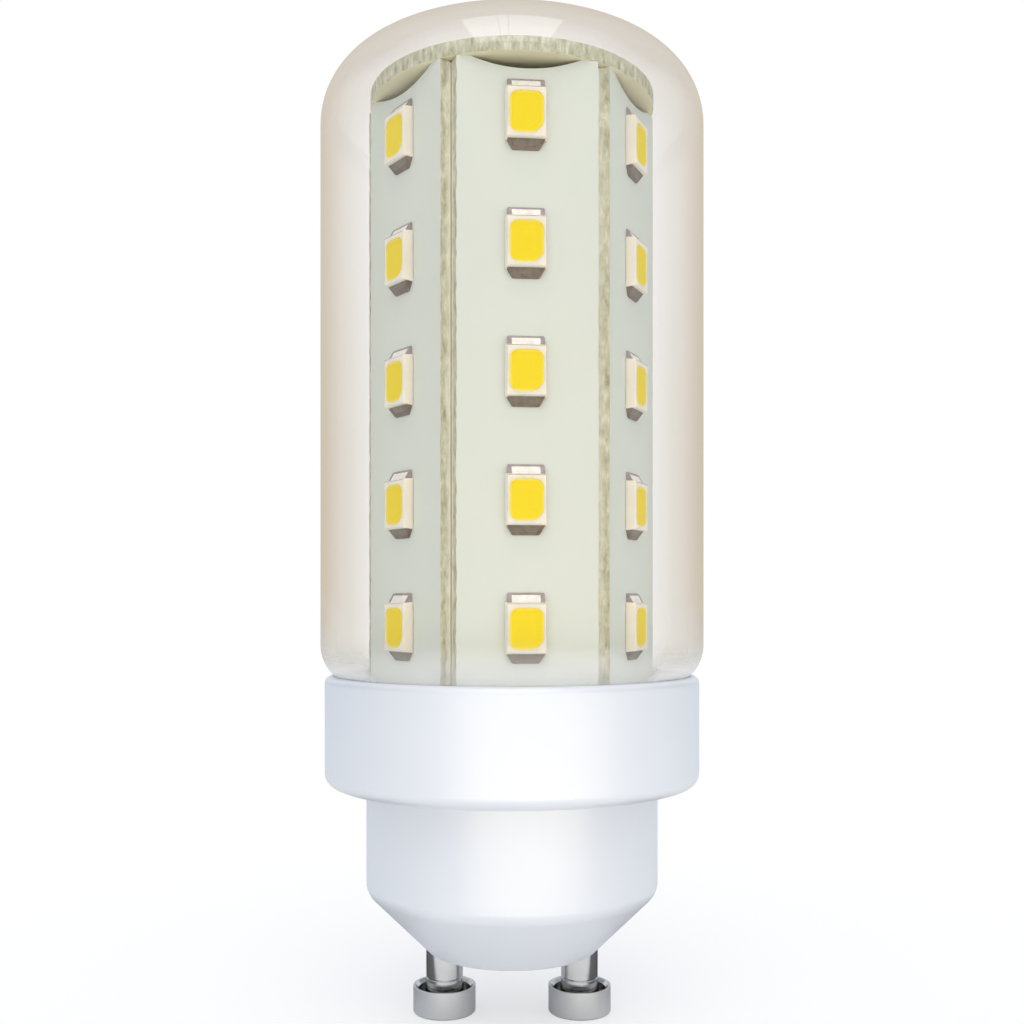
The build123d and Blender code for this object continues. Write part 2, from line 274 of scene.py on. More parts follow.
class Finish:
    """A material or a world in the making. node() adds any node and gives back one of its outputs."""

    def __init__(self, owner):
        self.owner = owner
        owner.use_nodes = True
        self.tree = owner.node_tree
        self.tree.nodes.clear()

    def node(self, kind, settings=None, sockets=None, output=0):
        made = self.tree.nodes.new(kind)
        for name, value in (settings or {}).items():
            if name == "stops":
                self.set_stops(made.color_ramp.elements, value)
            else:
                setattr(made, name, value)
        for name, value in (sockets or {}).items():
            if isinstance(value, Value):
                self.tree.links.new(value.socket, made.inputs[name])
            else:
                made.inputs[name].default_value = value
        return Value(self, made.outputs[output]) if made.outputs else None

    def set_stops(self, elements, stops):
        while len(elements) < len(stops):
            elements.new(0.5)
        for element, (position, colour) in zip(elements, stops):
            element.position = position
            element.color = (*colour, 1)

    def math(self, operation, *values):
        return self.node("ShaderNodeMath", {"operation": operation}, dict(enumerate(values)))

    def step(self, value, low, high):
        """0 below low, 1 above high and smooth between."""
        sockets = {"Value": value, "From Min": low, "From Max": high}
        return self.node("ShaderNodeMapRange", {"interpolation_type": "SMOOTHSTEP"}, sockets)

    def spread(self, value, low, high):
        """A value from 0 to 1 spread over low to high."""
        return self.node("ShaderNodeMapRange", None, {"Value": value, "To Min": low, "To Max": high})

    def place(self, scale=(1, 1, 1)):
        """Place on the object in millimetres, stretched by scale."""
        here = self.node("ShaderNodeTexCoord", output="Object")
        factors = tuple(factor / MM for factor in scale)
        return self.node("ShaderNodeVectorMath", {"operation": "MULTIPLY"}, {0: here, 1: factors})

    def along(self, vector, axis):
        return self.node("ShaderNodeSeparateXYZ", None, {0: vector}, axis)

    def noise(self, place, scale, detail=3.0, roughness=0.55):
        sockets = {"Vector": place, "Scale": scale, "Detail": detail, "Roughness": roughness}
        return self.node("ShaderNodeTexNoise", None, sockets)

    def ramp(self, value, *stops):
        return self.node("ShaderNodeValToRGB", {"stops": stops}, {0: value})

    def mix(self, factor, first, second):
        """Mix of two colours. A colour of three numbers gets its alpha here."""
        first, second = [c if isinstance(c, Value) else (*c, 1) for c in (first, second)]
        return self.node("ShaderNodeMix", {"data_type": "RGBA"}, {0: factor, 6: first, 7: second}, 2)

    def bump(self, height, distance, strength=1.0):
        sockets = {"Height": height, "Distance": distance, "Strength": strength}
        return self.node("ShaderNodeBump", None, sockets)

    def ray(self, kind):
        return self.node("ShaderNodeLightPath", output=f"Is {kind} Ray")

    def tints(self, *colours):
        """A clear skin for each colour."""
        return [self.node("ShaderNodeBsdfTransparent", None, {"Color": (*c, 1)}) for c in colours]

    def principled(self, sockets):
        return self.node("ShaderNodeBsdfPrincipled", None, sockets)

    def blend(self, factor, first, second):
        """Mix of two shaders."""
        return self.node("ShaderNodeMixShader", None, {0: factor, 1: first, 2: second})

    def show(self, shader, kind="ShaderNodeOutputMaterial"):
        self.node(kind, None, {"Surface": shader})
        return self.owner


def new_finish(name):
    return Finish(bpy.data.materials.new(name))


def paint(red, green, blue):
    """Colour as a screen shows it, from 0 to 255, as linear light."""
    shares = [part / 255 for part in (red, green, blue)]
    return tuple(s / 12.92 if s <= 0.04045 else ((s + 0.055) / 1.055) ** 2.4 for s in shares)


def white_moulding():
    """Glossy white plastic with a faint mould texture."""
    finish = new_finish("white_moulding")
    place = finish.place()
    cloud = finish.noise(place, 0.35)
    grain = finish.noise(place, 9.0, detail=2.0)
    height = finish.along(place, 2)
    colour = finish.mix(cloud, paint(213, 217, 225), paint(217, 221, 228))
    gloss = finish.step(height, *CONE_GLOSS) * (1 - 0.18 * finish.step(height, *COLLAR_GLOSS))
    shader = finish.principled(
        {
            "Base Color": colour,
            "Roughness": finish.spread(grain, 0.36, 0.44),
            "Specular IOR Level": 1.0,
            "Coat Weight": gloss,
            "Coat IOR": 2.2,
            "Coat Roughness": 0.42,
            "Normal": finish.bump(grain, 0.003 * MM),
        }
    )
    return finish.show(shader)


def plated_pin():
    """Bright nickel with turning marks round the pin, darkened by painted shade inside the cup."""
    finish = new_finish("plated_pin")
    place = finish.place()
    height = finish.along(place, 2)
    across = finish.math("ABSOLUTE", finish.along(place, 0)) - pin_x / MM
    depth = finish.along(place, 1)
    radius = finish.math("SQRT", across * across + depth * depth)
    marks = finish.node("ShaderNodeCombineXYZ", None, {0: radius, 2: height})
    turning = finish.noise(marks, 14.0, detail=4.0, roughness=0.7)
    stain = finish.noise(place, 0.9)
    satin = finish.step(radius, (pin_head_radius - PIN_RIM_WIDTH) / MM, pin_head_radius / MM)
    cup_wall = (pin_head_radius - PIN_RIM_WIDTH - PIN_RIM_BEVEL) / MM
    off_shank = finish.step(radius, PIN_SHANK_RADIUS / MM + 0.05, PIN_SHANK_RADIUS / MM + 0.12)
    # Painted shade: the nickel is darker down inside the cup.
    painted_cup_shade = off_shank * (1 - finish.step(radius, cup_wall, cup_wall + 0.08))
    painted_cup_shade = painted_cup_shade * (1 - finish.step(height, *CUP_MOUTH))
    plate = finish.mix(stain, paint(212, 211, 209), paint(230, 229, 226))
    plate = finish.mix(satin, plate, paint(196, 197, 199))
    shader = finish.principled(
        {
            "Base Color": finish.mix(painted_cup_shade, plate, paint(190, 188, 184)),
            "Metallic": 1 - 0.55 * satin,
            "Roughness": finish.spread(turning, 0.08, 0.16) + 0.3 * satin,
            "Specular Tint": (0.55, 0.55, 0.55, 1),
            "Normal": finish.bump(turning, 0.003 * MM),
        }
    )
    return finish.show(shader)


def clear_glass():
    """Outer skin of the clear cover: beige towards the edges, with a polished crown and a milky lip."""
    finish = new_finish("clear_glass")
    place = finish.place()
    wave = finish.noise(finish.place((1, 1, 0.3)), 0.12, detail=1.0)
    height = finish.along(place, 2)
    level = finish.node("ShaderNodeVectorMath", {"operation": "MULTIPLY"}, {0: place, 1: (1, 1, 0)})
    level = finish.node("ShaderNodeVectorMath", {"operation": "NORMALIZE"}, {0: level})
    aside = finish.node("ShaderNodeLayerWeight", None, {"Blend": 0.5, "Normal": level}, "Facing")
    facing = finish.node("ShaderNodeLayerWeight", None, {"Blend": 0.5}, "Facing")
    low = 1 - finish.step(height, *LIP_FADE)
    facing = facing + low * (aside - facing) + 0.03 * (wave - 0.5)
    clear, grey, beige, neutral = finish.tints(
        (1, 1, 1), (0.875, 0.855, 0.825), (0.77, 0.705, 0.61), (0.78, 0.775, 0.765)
    )
    foot = 1 - finish.step(height, *GLASS_FOOT)
    upper = finish.step(height, *GLASS_UPPER)
    crown = finish.step(height, *GLASS_CROWN)
    rim = (1 - 0.12 * upper) * (1 - 0.15 * crown) * finish.step(facing, 0.38, 0.95)
    body = finish.blend((1 - 0.25 * upper * (1 - crown)) * finish.step(facing, 0.12, 0.5), clear, grey)
    body = finish.blend(rim, body, finish.blend(foot, beige, neutral))
    flank = finish.step(facing, 0.12, 0.3) * (1 - finish.step(facing, 0.45, 0.7)) * (1 - crown)
    milky = finish.node("ShaderNodeBsdfDiffuse", None, {"Color": MILK_COLOUR})
    lip = 1 - finish.step(height, *LIP)
    sides = lip * lip * finish.step(aside, 0.3, 0.42)
    milk = finish.math("MAXIMUM", LIP_MILK * lip, 0.75 * sides)
    body = finish.blend(finish.math("MAXIMUM", 0.05 * flank, milk), body, milky)
    shine = 0.065 * crown + 0.1 * finish.step(facing, 0.5, 1.0)
    gloss = finish.node("ShaderNodeBsdfGlossy", None, {"Color": (1, 1, 1, 1), "Roughness": 0.05})
    return finish.show(finish.blend(shine, body, gloss))


def clear_lining():
    """Inner skin of the clear cover, which hardly shows above its milky lip."""
    finish = new_finish("clear_lining")
    wave = finish.noise(finish.place((1, 1, 0.3)), 0.12, detail=1.0)
    clear, hazy = finish.tints((1, 1, 1), (0.995, 0.993, 0.99))
    milky = finish.node("ShaderNodeBsdfDiffuse", None, {"Color": MILK_COLOUR})
    height = finish.along(finish.place(), 2)
    lip = (1 - finish.step(height, *LIP)) * finish.step(height, *LIP_ROOT)
    return finish.show(finish.blend(LIP_MILK * lip, finish.blend(wave, clear, hazy), milky))


def board_mask():
    """White solder mask with a faint green cast over the weave of the laminate, made paler at the foot
    by painted light.
    """
    finish = new_finish("board_mask")
    place = finish.place()
    cloud = finish.noise(place, 0.16, detail=4.0)
    weave = finish.noise(finish.place((1, 1, 4)), 5.0, detail=2.0)
    colour = finish.mix(cloud, paint(210, 215, 204), paint(216, 217, 205))
    # Painted light: the mask grows paler towards the board's foot.
    foot = 1 - finish.step(finish.along(place, 2), *BOARD_PAINTED_GLOW)
    colour = finish.mix(0.85 * foot, colour, paint(244, 247, 243))
    shader = finish.principled(
        {
            "Base Color": colour,
            "Roughness": finish.spread(cloud, 0.5, 0.6),
            "Specular IOR Level": 0.2,
            "Normal": finish.bump(weave, 0.004 * MM),
        }
    )
    return finish.show(shader)


def cut_laminate():
    """Sawn edge of glass-fibre laminate: olive resin with pale and brown fibres, made paler to the back
    by painted light.
    """
    finish = new_finish("cut_laminate")
    blotch = finish.noise(finish.place((1, 1, 0.4)), 2.8, detail=3.0, roughness=0.6)
    fibres = finish.noise(finish.place((5, 5, 0.5)), 1.6, detail=5.0, roughness=0.7)
    resin = finish.ramp(
        blotch,
        (0.3, paint(160, 154, 128)),
        (0.44, paint(190, 187, 160)),
        (0.56, paint(204, 202, 178)),
        (0.7, paint(226, 221, 202)),
    )
    colour = finish.mix(0.45 * finish.step(fibres, 0.45, 0.7), resin, paint(168, 165, 138))
    depth = finish.along(finish.node("ShaderNodeUVMap", {"uv_map": "edge"}), 0)
    # Painted light: the sawn edge grows paler towards the board's back, deep in the groove between
    # boards where shade falls.
    painted_groove_light = 0.4 * finish.step(depth, 0.3, 0.85) + 0.45 * finish.step(depth, 0.8, 1.0)
    colour = finish.mix(painted_groove_light, colour, paint(248, 245, 230))
    shader = finish.principled(
        {
            "Base Color": colour,
            "Roughness": 0.75,
            "Specular IOR Level": 0.1,
            "Normal": finish.bump(fibres, 0.05 * MM),
        }
    )
    return finish.show(shader)


def led_cream():
    """Cream moulding of the LED packages."""
    finish = new_finish("led_cream")
    place = finish.place()
    cloud = finish.noise(place, 0.8)
    grain = finish.noise(place, 14.0, detail=2.0)
    shader = finish.principled(
        {
            "Base Color": finish.mix(cloud, paint(238, 226, 209), paint(243, 232, 216)),
            "Roughness": finish.spread(grain, 0.4, 0.55),
            "Specular IOR Level": 0.25,
            "Subsurface Weight": 1.0,
            "Subsurface Radius": (1.0, 0.9, 0.8),
            "Subsurface Scale": 0.4 * MM,
            "Normal": finish.bump(grain, 0.004 * MM),
        }
    )
    return finish.show(shader)


def phosphor_yellow():
    """Yellow silicone, deepest in the middle of a window and paler at its rim."""
    finish = new_finish("phosphor_yellow")
    spot = finish.node("ShaderNodeUVMap", {"uv_map": "window"})
    across = finish.math("ABSOLUTE", finish.along(spot, 0) - 0.5)
    up = finish.math("ABSOLUTE", finish.along(spot, 1) - 0.5)
    rim = finish.step(finish.math("MAXIMUM", across, up), 0.42, 0.5)
    grain = finish.noise(finish.place(), 6.0, detail=4.0)
    yellow = finish.mix(grain, paint(235, 207, 39), paint(240, 214, 54))
    shader = finish.principled(
        {
            "Base Color": finish.mix(0.6 * rim, yellow, paint(250, 226, 120)),
            "Roughness": finish.spread(grain, 0.5, 0.65),
            "Specular IOR Level": 0.08,
            "Normal": finish.bump(grain, 0.004 * MM),
        }
    )
    return finish.show(shader)


def solder(name, dark, light, roughness):
    """Solder or bare lead, mottled between two colours."""
    finish = new_finish(name)
    cloud = finish.noise(finish.place(), 2.2, detail=5.0, roughness=0.65)
    shader = finish.principled(
        {
            "Base Color": finish.mix(finish.step(cloud, 0.35, 0.65), paint(*dark), paint(*light)),
            "Metallic": 0.12,
            "Roughness": finish.spread(cloud, roughness, roughness + 0.2),
            "Normal": finish.bump(cloud, 0.02 * MM),
        }
    )
    return finish.show(shader)


def plain_part(name, dark, light, roughness, metallic=0.0):
    """Finish of a part that is shut away in the cap: two close colours, mottled."""
    finish = new_finish(name)
    cloud = finish.noise(finish.place(), 1.4, detail=4.0)
    shader = finish.principled(
        {
            "Base Color": finish.mix(cloud, paint(*dark), paint(*light)),
            "Metallic": metallic,
            "Roughness": finish.spread(cloud, roughness, roughness + 0.15),
            "Normal": finish.bump(cloud, 0.01 * MM),
        }
    )
    return finish.show(shader)


def studio_floor():
    """White floor. The camera sees it fade to plain white, so that only the shadow on it shows."""
    finish = new_finish("studio_floor")
    place = finish.place()
    cloud = finish.noise(place, 0.002)
    away = finish.node("ShaderNodeVectorMath", {"operation": "LENGTH"}, {0: place}, "Value")
    eye = finish.ray("Camera")
    grey = finish.mix(cloud, (0.77,) * 3, (0.81,) * 3)
    white = finish.mix(cloud, (0.93,) * 3, (0.95,) * 3)
    gloss = finish.ray("Glossy")
    aside = finish.step(finish.math("ABSOLUTE", finish.along(place, 0)), *DARK_ASIDE)
    back = finish.step(finish.along(place, 1), *DARK_BACK)
    beside = aside * back * (1 - finish.step(away, *DARK_AWAY))
    grey = finish.mix(gloss * beside, grey, (0.12,) * 3)
    lit = finish.principled({"Base Color": finish.mix(eye, grey, white), "Roughness": 0.9})
    plain = finish.node("ShaderNodeEmission", None, {"Color": (1, 1, 1, 1), "Strength": 1.0})
    fade = finish.spread(finish.step(away, FLOOR_NEAR / MM, FLOOR_FAR / MM), FLOOR_LIFT, 1.0)
    return finish.show(finish.blend(eye * fade, lit, plain))


moulding = white_moulding()
nickel = plated_pin()
glass = clear_glass()
lining = clear_lining()
mask = board_mask()
laminate = cut_laminate()
bare_laminate = plain_part("bare_laminate", (224, 218, 186), (232, 227, 196), 0.6)
cream = led_cream()
phosphor = phosphor_yellow()
# Lit copies of the solder for the upper joints: painted shade on the outline, painted highlight in the
# middle
solder_painted_edge_shade = solder("solder_painted_edge_shade", (148, 137, 135), (170, 158, 155), 0.45)
solder_painted_highlight = solder("solder_painted_highlight", (232, 224, 214), (246, 240, 232), 0.35)
# Shaded copies of the solder for the lower joints: painted shade, a little lighter in the middle
solder_painted_shade = solder("solder_painted_shade", (112, 96, 88), (132, 116, 104), 0.45)
solder_painted_half_shade = solder("solder_painted_half_shade", (120, 111, 97), (136, 127, 111), 0.4)


def deselect():
    if bpy.context.mode != "OBJECT":
        bpy.ops.object.mode_set(mode="OBJECT")
    bpy.ops.object.select_all(action="DESELECT")


def take(piece):
    """Makes a piece the only one selected."""
    deselect()
    piece.select_set(True)
    bpy.context.view_layer.objects.active = piece


def edit(piece):
    take(piece)
    bpy.ops.object.mode_set(mode="EDIT")


def pick(piece, kind, wanted):
    """Selects those of a piece's verts, edges or faces that pass a test, in edit mode."""
    modes = {"verts": "VERT", "edges": "EDGE", "faces": "FACE"}
    bpy.ops.mesh.select_mode(type=modes[kind])
    bpy.ops.mesh.select_all(action="DESELECT")
    shape = bmesh.from_edit_mesh(piece.data)
    for part in getattr(shape, kind):
        if wanted(part):
            part.select_set(True)
    shape.select_flush_mode()
    bmesh.update_edit_mesh(piece.data)


def near(first, second):
    return abs(first - second) < NEAR


def same_x(edge):
    return near(edge.verts[0].co.x, edge.verts[1].co.x)


def bevel(size, steps, affect="EDGES", **settings):
    """Breaks the selected edges or corners."""
    bpy.ops.mesh.bevel(offset=size, offset_type="OFFSET", segments=steps, affect=affect, **settings)


def added(name):
    """The primitive just added, under its own name."""
    piece = bpy.context.object
    piece.name = piece.data.name = name
    return piece


def block(name, size, centre):
    """Cuboid blank about a centre."""
    deselect()
    bpy.ops.mesh.primitive_cube_add(size=1, location=centre, scale=size)
    bpy.ops.object.transform_apply(location=True, rotation=True, scale=True)
    return added(name)


def turned(name, outline, rounds, centre=0.0, closed=False):
    """Piece turned about an upright axis from (radius, height) points, with some corners rounded."""
    deselect()
    bpy.ops.mesh.primitive_plane_add(size=MM)
    piece = added(name)
    edit(piece)
    bpy.ops.mesh.merge(type="CENTER")
    bpy.ops.transform.translate(value=(centre + outline[0][0], 0, outline[0][1]))
    for (radius, height), (next_radius, next_height) in zip(outline, outline[1:]):
        way = (next_radius - radius, 0, next_height - height)
        bpy.ops.mesh.extrude_vertices_move(TRANSFORM_OT_translate={"value": way})
    if closed:
        pick(piece, "verts", lambda vert: len(vert.link_edges) == 1)
        bpy.ops.mesh.edge_face_add()
    for corner, size in rounds.items():
        radius, height = outline[corner]
        pick(piece, "verts", lambda vert: near(vert.co.x, centre + radius) and near(vert.co.z, height))
        bevel(size, ROUND_STEPS, "VERTICES")
    bpy.ops.mesh.select_all(action="SELECT")
    bpy.ops.mesh.spin(steps=TURN_STEPS, angle=math.tau, center=(centre, 0, 0), axis=(0, 0, 1))
    tidy(piece)
    return piece


def tidy(piece):
    """Merges doubled points and turns every face outwards."""
    edit(piece)
    bpy.ops.mesh.select_all(action="SELECT")
    bpy.ops.mesh.remove_doubles(threshold=DOUBLED)
    bpy.ops.mesh.normals_make_consistent(inside=False)
    deselect()


def apply_modifier(piece, kind, **settings):
    take(piece)
    modifier = piece.modifiers.new(kind.lower(), kind)
    for name, value in settings.items():
        setattr(modifier, name, value)
    bpy.ops.object.modifier_apply(modifier=modifier.name)


def cut(piece, cutter):
    """Takes a cutter's shape out of a piece and removes the cutter."""
    apply_modifier(piece, "BOOLEAN", operation="DIFFERENCE", object=cutter, solver="EXACT")
    bpy.data.objects.remove(cutter)


def rod(name, radius, length, centre, turn=(0, 0, 0), steps=TURN_STEPS):
    """Round bar about a centre."""
    deselect()
    bpy.ops.mesh.primitive_cylinder_add(
        vertices=steps, radius=radius, depth=length, location=centre, rotation=turn
    )
    bpy.ops.object.transform_apply(location=True, rotation=True, scale=True)
    return added(name)


def smooth(piece):
    """Shades a piece smooth across its gentle edges, with flat faces kept flat."""
    take(piece)
    bpy.ops.object.shade_smooth_by_angle(angle=SMOOTH_ANGLE)
    apply_modifier(piece, "WEIGHTED_NORMAL", keep_sharp=True)


def finished(piece, slot, nodes, *materials):
    """Gives a piece its materials and its place in the frame."""
    for material in materials:
        piece.data.materials.append(material)
    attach(piece, "root")
    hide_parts(*nodes)


def arc(centre, height, radius, first, last):
    """Points on an arc of a turned outline, between two angles from the horizontal."""
    angles = [first + (last - first) * step / COVER_ARC_STEPS for step in range(COVER_ARC_STEPS + 1)]
    return [(centre + radius * math.cos(a), height + radius * math.sin(a)) for a in angles]


def cover_line(inset):
    """Half outline of the cover's outer surface moved inwards, from the rim to the top."""
    lip_centre = cover_radius - COVER_LIP_RADIUS
    lip_turn = math.acos((spigot_radius - lip_centre) / COVER_LIP_RADIUS)
    lip_z = collar_top - COVER_LIP_DROP + COVER_LIP_RADIUS * math.sin(lip_turn)
    lip_radius = COVER_LIP_RADIUS - inset
    lip_start = math.acos((spigot_radius - inset - lip_centre) / lip_radius)
    knuckle_centre = cover_radius - COVER_KNUCKLE_RADIUS
    bend_radius = COVER_CROWN_RADIUS - COVER_KNUCKLE_RADIUS
    bend = math.acos(knuckle_centre / bend_radius)
    crown_z = cover_top - COVER_CROWN_RADIUS
    knuckle_z = crown_z + bend_radius * math.sin(bend)
    lip = arc(lip_centre, lip_z, lip_radius, -lip_start, 0)
    knuckle = arc(knuckle_centre, knuckle_z, COVER_KNUCKLE_RADIUS - inset, 0, bend)
    crown = arc(0, crown_z, COVER_CROWN_RADIUS - inset, bend, math.pi / 2)
    return [(spigot_radius - inset, seat_z)] + lip + knuckle + crown[1:]


def make_cover():
    inner = cover_line(COVER_WALL)[::-1]
    rim = len(inner)
    outline = inner + cover_line(0)
    cover = turned("glass_cover", outline, {rim - 1: COVER_RIM_ROUND, rim: COVER_RIM_ROUND})
    take(cover)
    bpy.ops.object.shade_smooth()
    inside = Vector((0, 0, COVER_INSIDE))
    for face in cover.data.polygons:
        face.material_index = int(face.normal.dot(face.center - inside) < 0)
    finished(cover, "clear_glass", ["clear_cover"], glass, lining)


def make_collar():
    bore = neck_spigot + FIT
    carrier_radius = spigot_radius - COVER_WALL - FIT
    outline = [
        (bore, collar_z),
        (collar_radius, collar_z),
        (collar_radius, collar_top),
        (collar_bore + COLLAR_LEAD, collar_top),
        (collar_bore, collar_top - COLLAR_LEAD),
        (collar_bore, seat_z),
        (carrier_radius, seat_z),
        (carrier_radius, carrier_z),
        (bore, carrier_z),
    ]
    rounds = {1: COLLAR_FOOT_ROUND, 2: COLLAR_TOP_ROUND}
    collar = turned("white_collar", outline, rounds, closed=True)
    smooth(collar)
    finished(collar, "white_moulding", ["collar"], moulding)


def make_base():
    neck_inner = neck_radius - BASE_WALL
    ledge_radius = neck_inner - DRIVER_LEDGE
    ledge_foot = floor_z + (ledge_radius - BASE_FLOOR_RADIUS) / math.tan(BASE_CONE_ANGLE)
    spigot_top = carrier_z - FIT
    outline = [
        (0, foot_z),
        (foot_radius, foot_z),
        (neck_radius, neck_z),
        (neck_radius, collar_z),
        (neck_spigot, collar_z),
        (neck_spigot, spigot_top),
        (neck_inner, spigot_top),
        (neck_inner, driver_z),
        (ledge_radius, driver_z),
        (ledge_radius, ledge_foot),
        (BASE_FLOOR_RADIUS, floor_z),
        (0, floor_z),
    ]
    base = turned("white_base", outline, {1: FOOT_ROUND, 2: NECK_ROUND})
    recess_z = foot_z + PIN_RECESS_DEPTH
    for x in (-pin_x, pin_x):
        recess = rod("recess", PIN_SHANK_RADIUS + PIN_RECESS_GAP, 2 * recess_z, (x, 0, 0))
        cut(base, recess)
        tail_hole = rod("tail_hole", PIN_TAIL_RADIUS + FIT / 2, 2 * floor_z, (x, 0, floor_z))
        cut(base, tail_hole)
    smooth(base)
    finished(base, "white_moulding", ["base_housing"], moulding)


def make_pin(name, x, node):
    cup_z = PIN_HEAD_HEIGHT - PIN_CUP_DEPTH
    rim = pin_head_radius - PIN_RIM_WIDTH
    cup = rim - PIN_RIM_BEVEL
    ring = PIN_SHANK_RADIUS + PIN_ROOT_RING
    ring_z = cup_z + PIN_ROOT_RING_HEIGHT
    groove_z = cup_z + PIN_GROOVE_RISE
    recess_z = foot_z + PIN_RECESS_DEPTH
    bore_z = pin_high.z - PIN_WIRE_BORE
    outline = [
        (0, 0),
        (pin_head_radius, 0),
        (pin_head_radius, PIN_HEAD_HEIGHT),
        (rim, PIN_HEAD_HEIGHT),
        (cup, PIN_HEAD_HEIGHT - PIN_RIM_BEVEL),
        (cup, cup_z),
        (ring, cup_z),
        (ring, ring_z),
        (PIN_SHANK_RADIUS, ring_z + PIN_ROOT_RING),
        (PIN_SHANK_RADIUS, groove_z),
        (PIN_SHANK_RADIUS - PIN_GROOVE, groove_z + PIN_GROOVE),
        (PIN_SHANK_RADIUS, groove_z + 2 * PIN_GROOVE),
        (PIN_SHANK_RADIUS, recess_z),
        (PIN_TAIL_RADIUS, recess_z),
        (PIN_TAIL_RADIUS, floor_z),
        (PIN_RIVET_RADIUS, floor_z),
        (PIN_RIVET_RADIUS, pin_high.z),
        (PIN_WIRE_HOLE, pin_high.z),
        (PIN_WIRE_HOLE, bore_z),
        (0, bore_z),
    ]
    rounds = {1: PIN_HEAD_ROUND, 2: PIN_RIM_WIDTH / 3, 3: PIN_RIM_WIDTH / 3}
    pin = turned(name, outline, rounds, centre=x)
    smooth(pin)
    finished(pin, "plated_pin", [node], nickel)


def peak(edge):
    """Whether an edge is one of a blank board's two upper corners."""
    return same_x(edge) and all(near(vert.co.z, board_top) for vert in edge.verts)


def tab_root(face):
    """Whether a face is where a board's tab grows from."""
    return face.normal.z < -FACING and abs(face.calc_center_median().x) < BOARD_TAB_WIDTH / 2


def make_board(board):
    """Strip board with bare sawn edges, rounded peaks, a dip in its top edge and a tab at its foot."""
    rng = random.Random(board)
    name = f"strip_board_{board + 1}"
    middle = BOARD_THICKNESS / 2 - board_face
    height = board_top - carrier_top
    strip = block(name, (BOARD_WIDTH, BOARD_THICKNESS, height), (0, middle, carrier_top + height / 2))
    edit(strip)
    pick(strip, "edges", peak)
    bevel(BOARD_PEAK_ROUND, ROUND_STEPS)
    for side in (-BOARD_TAB_WIDTH / 2, BOARD_TAB_WIDTH / 2):
        bpy.ops.mesh.select_all(action="SELECT")
        bpy.ops.mesh.bisect(plane_co=(side, 0, 0), plane_no=(1, 0, 0))
    pick(strip, "edges", lambda edge: abs(edge.verts[0].co.z - edge.verts[1].co.z) > height / 2)
    bpy.ops.mesh.subdivide(number_cuts=BOARD_EDGE_CUTS)
    pick(strip, "faces", tab_root)
    tab_z = carrier_z + FIT
    bpy.ops.mesh.extrude_region_move(TRANSFORM_OT_translate={"value": (0, 0, tab_z - carrier_top)})
    shape = bmesh.from_edit_mesh(strip.data)
    for vert in shape.verts:
        printed = near(vert.co.y, -board_face)
        saw = rng.random() ** 2 * BOARD_EDGE_ROUGHNESS
        if printed and vert.co.x < BOARD_SCORE - BOARD_WIDTH / 2:
            vert.co.x = BOARD_SCORE - BOARD_WIDTH / 2 + saw
        elif near(abs(vert.co.x), BOARD_WIDTH / 2):
            vert.co.x -= math.copysign(saw if printed else -BOARD_JOINT / 2, vert.co.x)
    bmesh.update_edit_mesh(strip.data)
    deselect()
    dip_width = BOARD_WIDTH - 2 * BOARD_PEAK_WIDTH
    dip_radius = (dip_width**2 / 4 + BOARD_DIP**2) / (2 * BOARD_DIP)
    dip_centre = (0, middle, board_top - BOARD_DIP + dip_radius)
    cut(strip, rod("dip", dip_radius, 4 * BOARD_THICKNESS, dip_centre, (math.pi / 2, 0, 0)))
    for face in strip.data.polygons:
        face.material_index = int(abs(face.normal.y) <= FACING)
    # Depth through the board, which the painted light on the sawn edge follows
    edge = strip.data.uv_layers.new(name="edge")
    for loop in strip.data.loops:
        at = strip.data.vertices[loop.vertex_index].co
        edge.data[loop.index].uv = ((at.y + board_face) / BOARD_THICKNESS, at.z / height)
    strip.data.transform(Matrix.Rotation(BOARD_TURN + math.tau * board / BOARD_COUNT, 4, "Z"))
    finished(strip, "board_white", [f"led_board_{board + 1}"], mask, laminate)


def round_window(piece):
    """Rounds a window's corners and cuts one of them off as the polarity mark."""

    def corner(edge, mark):
        upright = abs(edge.verts[0].co.z - edge.verts[1].co.z) > LED_WINDOW_DEPTH / 2
        at = edge.verts[0].co
        at_side = near(abs(at.x), window_width / 2)
        at_end = near(abs(at.y + window_drop), window_length / 2)
        return upright and at_side and at_end and (at.x > 0 > at.y) == mark

    pick(piece, "edges", lambda edge: corner(edge, True))
    bevel(LED_MARK, LED_WINDOW_STEPS, profile=LED_MARK_PROFILE)
    pick(piece, "edges", lambda edge: corner(edge, False))
    bevel(LED_WINDOW_ROUND, LED_WINDOW_STEPS)


def led_body():
    """Moulded package with sloping sides and a window, lying on the XY plane with its window up."""
    body = block("led_body", (LED_WIDTH, LED_LENGTH, led_height), (0, 0, led_height / 2))
    top = (0, 0, led_height)
    edit(body)
    pick(body, "faces", lambda face: face.normal.z > FACING)
    slope = (1 - 2 * led_lean / LED_WIDTH, 1 - 2 * led_lean / LED_LENGTH, 1)
    bpy.ops.transform.resize(value=slope, center_override=top)
    bpy.ops.mesh.inset(thickness=LED_SIDE_FRAME)
    stretch = window_length / (LED_LENGTH - 2 * (led_lean + LED_SIDE_FRAME))
    bpy.ops.transform.resize(value=(1, stretch, 1), center_override=top)
    bpy.ops.transform.translate(value=(0, -window_drop, 0))
    bpy.ops.mesh.extrude_region_move(TRANSFORM_OT_translate={"value": (0, 0, -LED_WINDOW_DEPTH)})
    round_window(body)

    def outside(vert):
        wide = abs(vert.co.x) > window_width / 2 + LED_EDGE_ROUND
        return wide or abs(vert.co.y + window_drop) > window_length / 2 + LED_EDGE_ROUND

    def outer(edge):
        low = all(near(vert.co.z, 0) for vert in edge.verts)
        beyond = all(outside(vert) for vert in edge.verts)
        return beyond and not low and edge.calc_face_angle() > LED_EDGE_ANGLE

    pick(body, "edges", outer)
    bevel(LED_EDGE_ROUND, LED_EDGE_STEPS)
    tidy(body)
    smooth(body)
    body.data.materials.append(cream)
    return body


